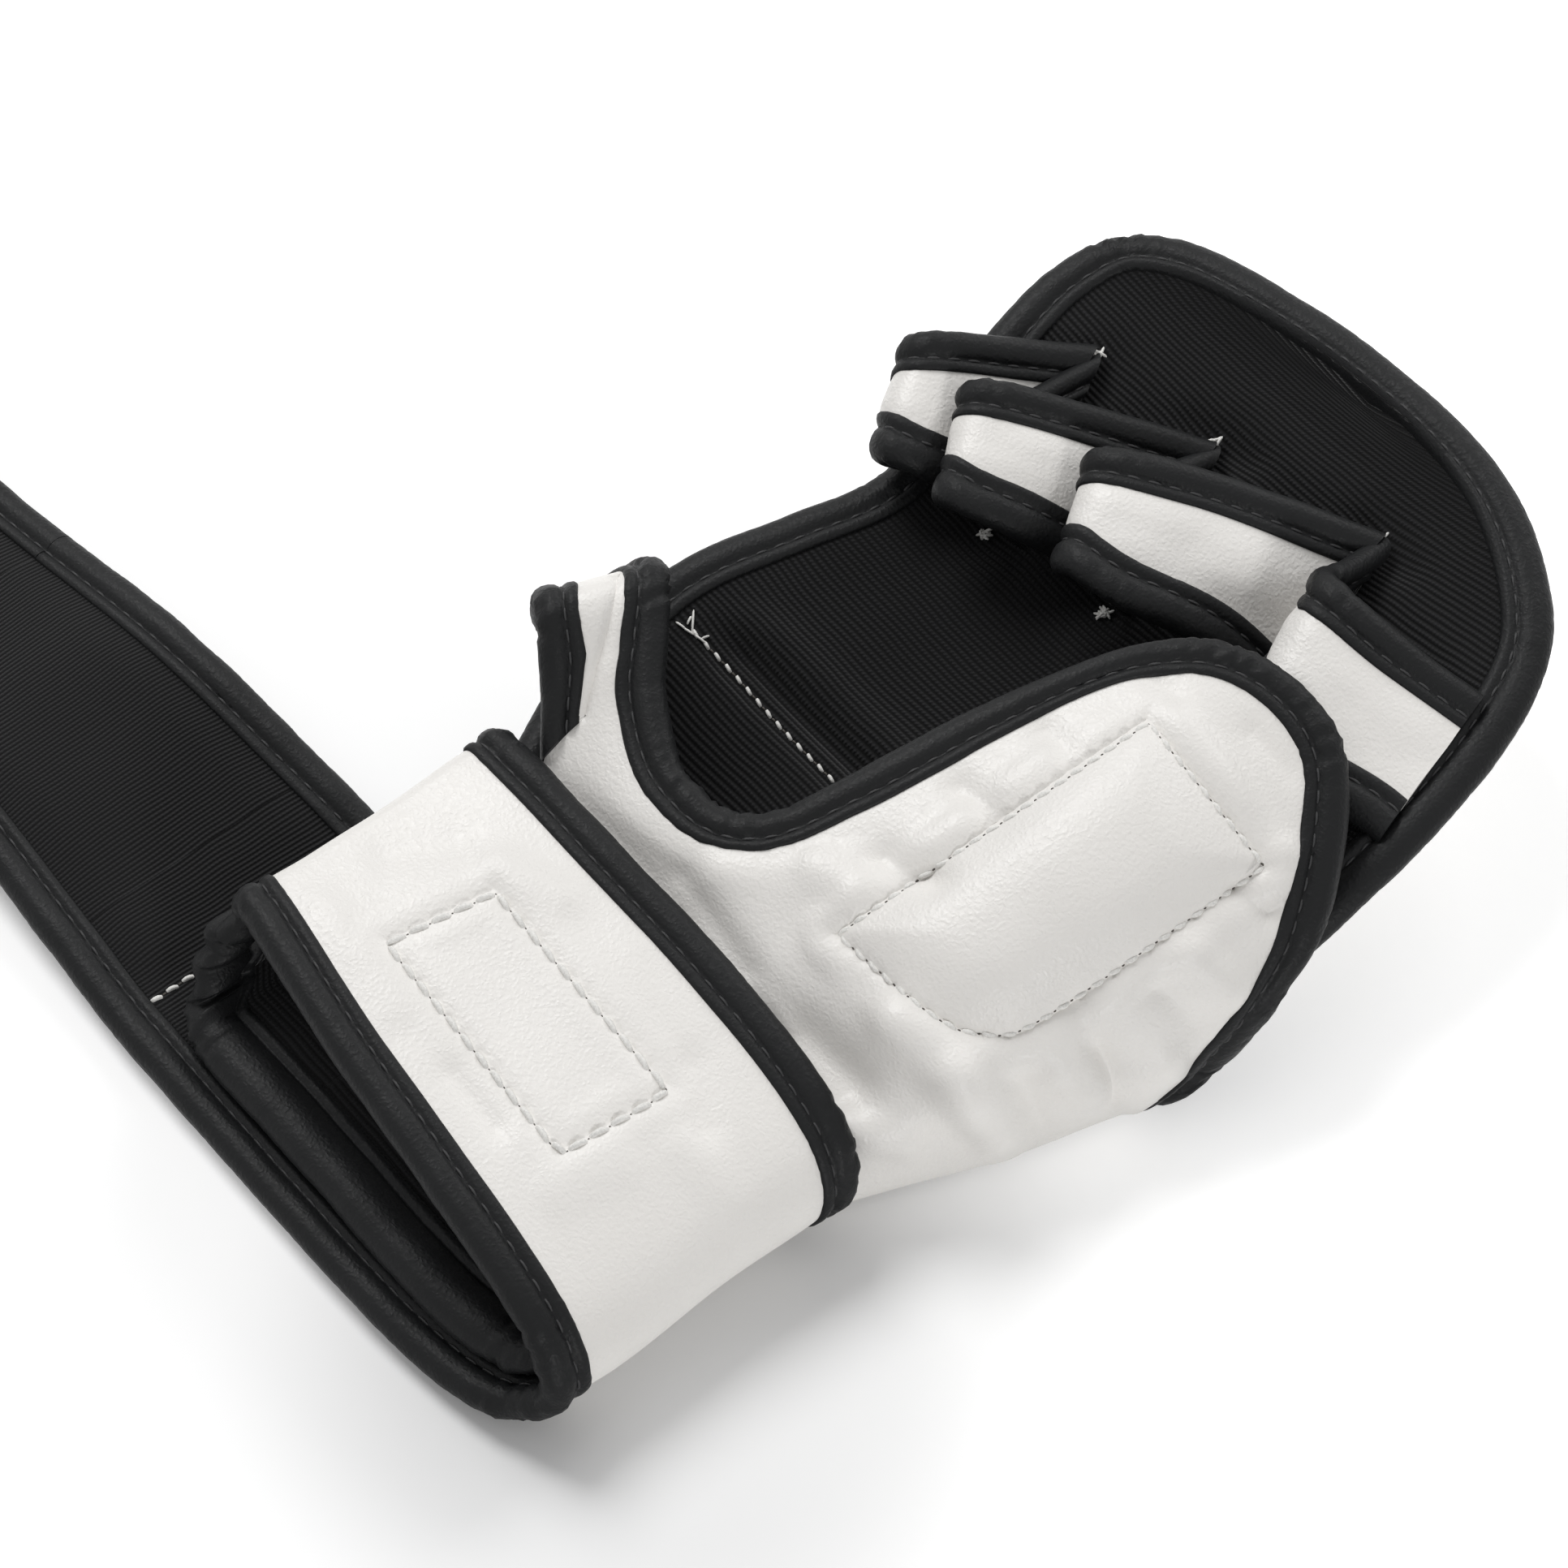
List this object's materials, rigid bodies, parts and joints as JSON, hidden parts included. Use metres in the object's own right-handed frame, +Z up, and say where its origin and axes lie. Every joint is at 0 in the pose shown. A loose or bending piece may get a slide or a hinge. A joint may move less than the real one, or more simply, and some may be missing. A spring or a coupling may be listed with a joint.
{
  "type": "mma glove",
  "caption": "Left-hand open-palm sparring glove in off-white leather with charcoal edging, black rib-knit lining, padded back, finger loops, thumb loop and open wrist strap.",
  "frame": {"origin": "on the table under the middle of the palm, at the flat rest of the padded back", "axes": "+Y from the wrist to the fingertips, +X to the little-finger side, +Z up out of the palm; the open strap runs to -X"},
  "size_m": [0.3116, 0.2242, 0.0489],
  "materials": {
    "white_leather": "pebbled satin",
    "charcoal_edging": "matte satin",
    "black_rib_knit": "rib knit",
    "grey_foam": "closed-cell foam",
    "black_fastening_tape": "hook and loop tape"
  },
  "bodies": {
    "hand": {"back_lining": "black_rib_knit", "back_shell": "white_leather", "back_foam": "grey_foam", "back_edging_thumb": "charcoal_edging", "back_edging_outer": "charcoal_edging", "wrist_band_leather": "white_leather", "wrist_band_lining": "black_rib_knit", "wrist_band_rear_edging": "charcoal_edging", "wrist_band_front_edging": "charcoal_edging", "wrist_loop_tape": "black_fastening_tape", "knitted_cuff": "black_rib_knit", "knitted_cuff_edging": "charcoal_edging", "palm_panel": "white_leather", "palm_lining": "black_rib_knit", "palm_heel_foam": "grey_foam", "palm_edging": "charcoal_edging", "thumb_hole_edging": "charcoal_edging"},
    "fingers": {"finger_lining": "black_rib_knit", "finger_shell": "white_leather", "finger_foam": "grey_foam", "finger_edging": "charcoal_edging", "index_loop_leather": "white_leather", "index_loop_lining": "black_rib_knit", "index_loop_distal_edging": "charcoal_edging", "index_loop_proximal_edging": "charcoal_edging", "middle_loop_leather": "white_leather", "middle_loop_lining": "black_rib_knit", "middle_loop_distal_edging": "charcoal_edging", "middle_loop_proximal_edging": "charcoal_edging", "ring_loop_leather": "white_leather", "ring_loop_lining": "black_rib_knit", "ring_loop_distal_edging": "charcoal_edging", "ring_loop_proximal_edging": "charcoal_edging", "little_loop_leather": "white_leather", "little_loop_lining": "black_rib_knit", "little_loop_distal_edging": "charcoal_edging", "little_loop_proximal_edging": "charcoal_edging"},
    "cuff_flap": {"cuff_flap_leather": "white_leather", "cuff_flap_lining": "black_rib_knit", "cuff_flap_rear_edging": "charcoal_edging", "cuff_flap_front_edging": "charcoal_edging", "cuff_flap_hook_patch": "black_fastening_tape"},
    "strap_root": {"strap_root_leather": "white_leather", "strap_root_lining": "black_rib_knit", "strap_root_rear_edging": "charcoal_edging", "strap_root_front_edging": "charcoal_edging"},
    "strap_middle": {"strap_middle_leather": "white_leather", "strap_middle_lining": "black_rib_knit", "strap_middle_rear_edging": "charcoal_edging", "strap_middle_front_edging": "charcoal_edging"},
    "strap_tip": {"strap_tip_leather": "white_leather", "strap_tip_lining": "black_rib_knit", "strap_tip_edging": "charcoal_edging", "strap_hook_tape": "black_fastening_tape"}
  },
  "joints": [
    {"name": "knuckle_flex", "type": "hinge", "parent": "hand", "child": "fingers", "pos_m": [0, 0.052, 0.029], "axis": [1, 0, 0], "range_deg": [0, 25]},
    {"name": "cuff_flap_open", "type": "hinge", "parent": "hand", "child": "cuff_flap", "pos_m": [0.0481, -0.06765, 0.0115], "axis": [0, 1, 0], "range_deg": [0, 150]},
    {"name": "strap_root_bend", "type": "hinge", "parent": "hand", "child": "strap_root", "pos_m": [-0.053, -0.0765, 0.0053], "axis": [0, 1, 0], "range_deg": [0, 90]},
    {"name": "strap_middle_bend", "type": "hinge", "parent": "strap_root", "child": "strap_middle", "pos_m": [-0.089, -0.0765, 0.0053], "axis": [0, 1, 0], "range_deg": [0, 90]},
    {"name": "strap_tip_bend", "type": "hinge", "parent": "strap_middle", "child": "strap_tip", "pos_m": [-0.185, -0.0765, 0.0053], "axis": [0, 1, 0], "range_deg": [0, 10]}
  ]
}
